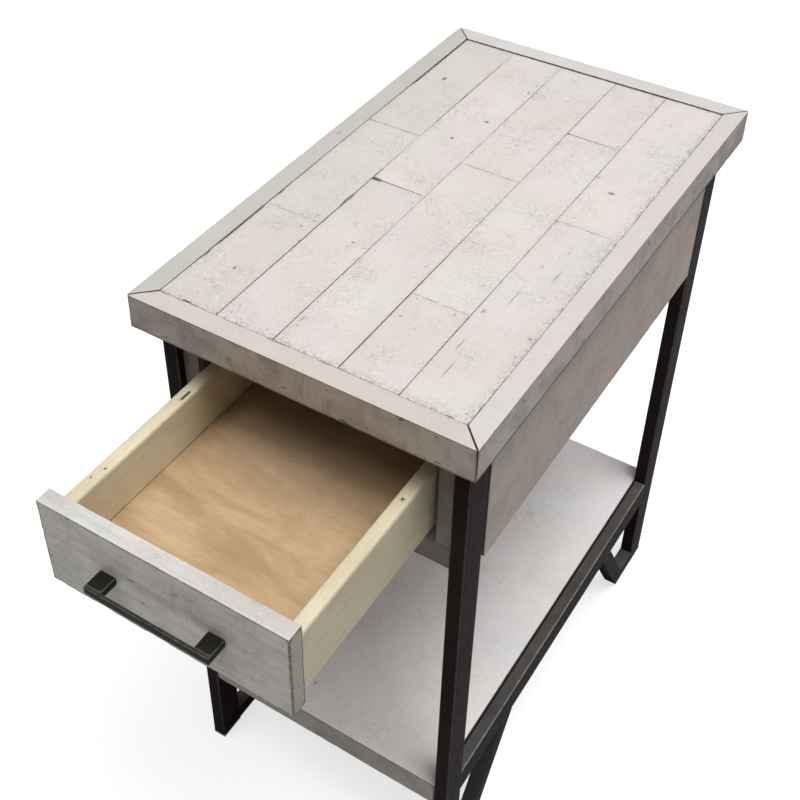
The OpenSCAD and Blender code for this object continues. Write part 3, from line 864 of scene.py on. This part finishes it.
# Painted shade: the end faces of the case sides are tinted near black for the shade in the narrow gap beside
# the front legs.
SIDE_WASH = dict(CASE_WASH, end_tint=(0.26, 0.25, 0.24))
# Painted shade: the front rails are painted darker for the shade they stand in under the top.
FRONT_RAIL_WASH = dict(CASE_WASH, pale=(0.34, 0.315, 0.27), deep=(0.29, 0.265, 0.225),
                       side_tint=(0.64, 0.62, 0.6))
PANEL_GAP = 4.1 * MM  # between the front leg and the case side's outer layer


def make_case_side(side, paint):
    """The two layers of a case side: the panel between the legs, and the board behind it and them."""
    node = "case_side_" + side
    low, high = (np.array(corner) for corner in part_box(node))
    front_leg_low, front_leg_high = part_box("leg_front_" + side)
    back_leg_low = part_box("leg_back_" + side)[0]
    panel_low, panel_high = low.copy(), high.copy()
    board_low, board_high = low.copy(), high.copy()
    if side == "left":
        panel_high[X] = board_low[X] = front_leg_high.x
    else:
        panel_low[X] = board_high[X] = front_leg_low.x
    panel_low[Y] = front_leg_high.y + PANEL_GAP
    panel_high[Y] = back_leg_low.y
    make_board(node + "_panel", node, "table", paint, low=panel_low, high=panel_high,
               cell=(4, 4, 4), wear=0.3, brush=0.08)
    make_board(node + "_board", node, "table", paint, low=board_low, high=board_high,
               cell=(6, 12, 12), wear=0.1)


def build_case():
    stile_wood = washed_wood("whitewashed_case_upright", Z, **STILE_WASH)
    side_wood = washed_wood("whitewashed_case_lengthwise", Y, **SIDE_WASH)
    back_wood = washed_wood("whitewashed_case_crosswise", X, **CASE_WASH)
    rail_wood = washed_wood("whitewashed_front_rails", X, **FRONT_RAIL_WASH)
    inner_wood = bare_wood("runner_wood", Y, pale=(0.56, 0.42, 0.27), deep=(0.47, 0.34, 0.21),
                           streak=(0.32, 0.21, 0.12))
    for side in ("left", "right"):
        # The stiles' dark arris lines are partly painted shadow along their joins with the drawer.
        make_board(f"stile_{side}_board", "stile_" + side, "table", stile_wood,
                   cell=(3, 5, 4), wear=0.3, along=Z, seam_tone=0.9)
        make_case_side(side, side_wood)
        for node in ("runner_" + side, "kicker_" + side):
            make_board(node + "_strip", node, "table", inner_wood, cell=(6, 12, 6), wear=0.2)
    for node in ("front_rail_bottom", "front_rail_top"):
        # The front rails' dark arris lines are partly painted shadow along their joins with the stiles.
        make_board(node + "_board", node, "table", rail_wood, cell=(4, 5, 3), wear=0.3, along=X,
                   seam_tone=0.9)
    make_board("case_back_board", "case_back", "table", back_wood, cell=(4, 5, 4), wear=0.3,
               along=X)
    make_board("centre_guide_strip", "centre_guide", "table", inner_wood, cell=(6, 12, 6),
               wear=0.2)
    make_board("guide_stop_block", "guide_stop", "table", inner_wood, radius=0.6 * MM, wear=0.2)
    keep_node("drawer_stops", inner_wood, 0.5 * MM)


# The shelf ------------------------------------------------

def build_shelf():
    paint = washed_wood("greywashed_shelf", Y, pale=(0.95, 0.94, 0.945), deep=(0.85, 0.84, 0.84),
                        glaze=(0.36, 0.34, 0.32), grain=0.06, specks=0.6, saw=0.4, crackle=0.8, edge_dirt=0.5,
                        side_tint=(0.77, 0.75, 0.75), face_line=0.6, roughness=0.45)
    make_board("shelf_board", "shelf", "table", paint, radius=0.9 * MM, cell=(4, 5, 5),
               wear=0.4, brush=0.12, seam_tone=0.9, cast=lambda points: 0.62)


# The steel frames -----------------------------------------

TUBE_RADIUS = 1.6 * MM
BAR_RADIUS = 1.2 * MM
SMALL_RADIUS = 0.4 * MM
SHELF_GAP = 2.6 * MM  # width of the painted shadow along the gap between the shelf and a side rail


def shelf_shadow(side):
    """A painted shadow: the dark of the gap beside the shelf, along the inner edge of a side rail's top."""
    low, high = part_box("side_rail_" + side)
    half = (SHELF_GAP / 2, (high.y - low.y) / 2)
    across = high.x - half[0] if side == "left" else low.x + half[0]
    return Dent((X, Y), (across, (low.y + high.y) / 2), half, depth=0, square=True)


def build_frames():
    steel = coated_steel("gunmetal_coat", body=(0.0190, 0.0135, 0.0120), warm=(0.026, 0.0190, 0.0170),
                         dust_and_sheen=(0.115, 0.106, 0.103), rub_and_highlight=(0.38, 0.37, 0.36))
    for side in ("left", "right"):
        for end in ("front", "back"):
            make_board(f"leg_{end}_{side}_tube", f"leg_{end}_{side}", "table", steel,
                       radius=TUBE_RADIUS, cell=(4, 4, 8), wear=0, flat_ends=Z)
            keep_node(f"foot_bar_{end}_{side}", steel, BAR_RADIUS)
            keep_node(f"foot_brace_{end}_{side}", steel, BAR_RADIUS)
        make_board(f"side_rail_{side}_tube", "side_rail_" + side, "table", steel,
                   radius=TUBE_RADIUS, cell=(4, 8, 4), wear=0, flat_ends=Y, dents=[shelf_shadow(side)])
    keep_node("shelf_tabs", steel, SMALL_RADIUS)
    keep_node("floor_glides", moulded_nylon("glide_nylon"), SMALL_RADIUS)
    zinc = zinc_plate("zinc_screws")
    for node in ("shelf_screws", "top_screws", "handle_screws"):
        keep_node(node, zinc)


# The drawer -----------------------------------------------

CREAM_WOOD = dict(pale=(0.75, 0.695, 0.51), deep=(0.665, 0.59, 0.42), streak=(0.50, 0.40, 0.25), figure=0.25,
                  speck=0.25)

# Slots and holes in the top edges of the drawer's sides: place across the board and place from its back end
# as shares of the board, half sizes the same two ways in mm, and depth in mm. Each is painted dark for the
# shade inside it.
DRAWER_SIDE_MARKS = {
    "left": [(0.66, 0.66, 1.2, 5.5, 0.8), (0.62, 0.89, 0.9, 0.9, 0.8), (0.35, 0.92, 0.7, 0.7, 0.8)],
    "right": [(0.5, 0.66, 1.0, 1.2, 0.8)],
}


def drawer_side_dents(side, low, high):
    """The marks in one drawer side's top edge, painted dark for the shade in them, and a shallow groove with
    a painted shadow line where its inner face meets the bottom.
    """
    dents = [Dent((X, Y), (low.x + (high.x - low.x) * across, high.y - (high.y - low.y) * length),
                  (half_x * MM, half_y * MM), depth, square=True)
             for across, length, half_x, half_y, depth in DRAWER_SIDE_MARKS[side]]
    bottom_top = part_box("drawer_bottom")[1].z
    middle = ((low.y + high.y) / 2, bottom_top + 0.3 * MM)
    half = ((high.y - low.y) / 2, 0.5 * MM)
    inwards = 1 if side == "left" else -1
    # A shallow groove with a painted shadow line where the side's inner face meets the bottom.
    dents.append(Dent((Y, Z), middle, half, depth=0.3, stain=0.7, square=True, side=inwards))
    return dents


def build_drawer():
    # Painted light: the upright faces of the drawer front are tinted paler than its top edge, for the light
    # that falls on them.
    front = washed_wood("brushed_drawer_front", X, pale=(0.69, 0.685, 0.658), deep=(0.575, 0.567, 0.54),
                        glaze=(0.30, 0.275, 0.245), grain=0.15, specks=0.35, saw=0.2, crackle=0.8, cast=0.6,
                        edge_dirt=0.6, side_tint=(1.27, 1.25, 1.21), end_tint=(0.64, 0.615, 0.565),
                        side_marks=0.7, ring_tone=0.16, face_line=0.8, roughness=0.48)
    make_board("drawer_front_board", "drawer_front", "drawer", front, radius=0.6 * MM,
               cell=(3, 4, 1.5), wear=0.6, brush=0.22, along=X, seam_tone=0.9)
    side_wood = bare_wood("drawer_side_wood", Y, **CREAM_WOOD)
    for side in ("left", "right"):
        node = "drawer_side_" + side
        make_board(node + "_board", node, "drawer", side_wood, radius=2.2 * MM,
                   cell=(3, 5, 4), wear=0.3, dents=drawer_side_dents(side, *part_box(node)))
    make_board("drawer_back_board", "drawer_back", "drawer",
               bare_wood("drawer_back_wood", X, **CREAM_WOOD), radius=1.5 * MM, cell=(5, 4, 4), wear=0.3,
               along=X)
    veneer = bare_wood("drawer_bottom_veneer", X, pale=(0.61, 0.435, 0.265), deep=(0.435, 0.295, 0.16),
                       streak=(0.34, 0.21, 0.105), figure=0.3, speck=0.25, blotchy=0.8, swirl=0.6)
    make_board("drawer_bottom_panel", "drawer_bottom", "drawer", veneer,
               radius=0.5 * MM, cell=(4, 4, 3), wear=0.1)
    keep_node("guide_saddle", moulded_nylon("saddle_nylon"), SMALL_RADIUS)
    bronze = coated_steel("handle_bronze", body=(0.010, 0.0085, 0.007), warm=(0.015, 0.013, 0.0105),
                          dust_and_sheen=(0.019, 0.016, 0.012), rub_and_highlight=(0.22, 0.21, 0.19), roughness=0.24, shine=0.1,
                          rub_and_highlight_reach=0.7 * MM)
    for node in ("handle_bar", "handle_post_left", "handle_post_right"):
        make_board(node + "_metal", node, "drawer", bronze, radius=0.6 * MM, cell=(3, 2, 2),
                   wear=0)


make_camera()
make_softbox("overhead_light", place=(1.75, -0.1, 6.2), size=3.8, power=285, colour=(1, 0.992, 0.98))
make_softbox("front_light", place=(-1.2, -2.1, 5.8), size=2.4, power=78, colour=(0.99, 0.995, 1))
make_floor()
make_room()
build_top()
build_case()
build_shelf()
build_frames()
build_drawer()
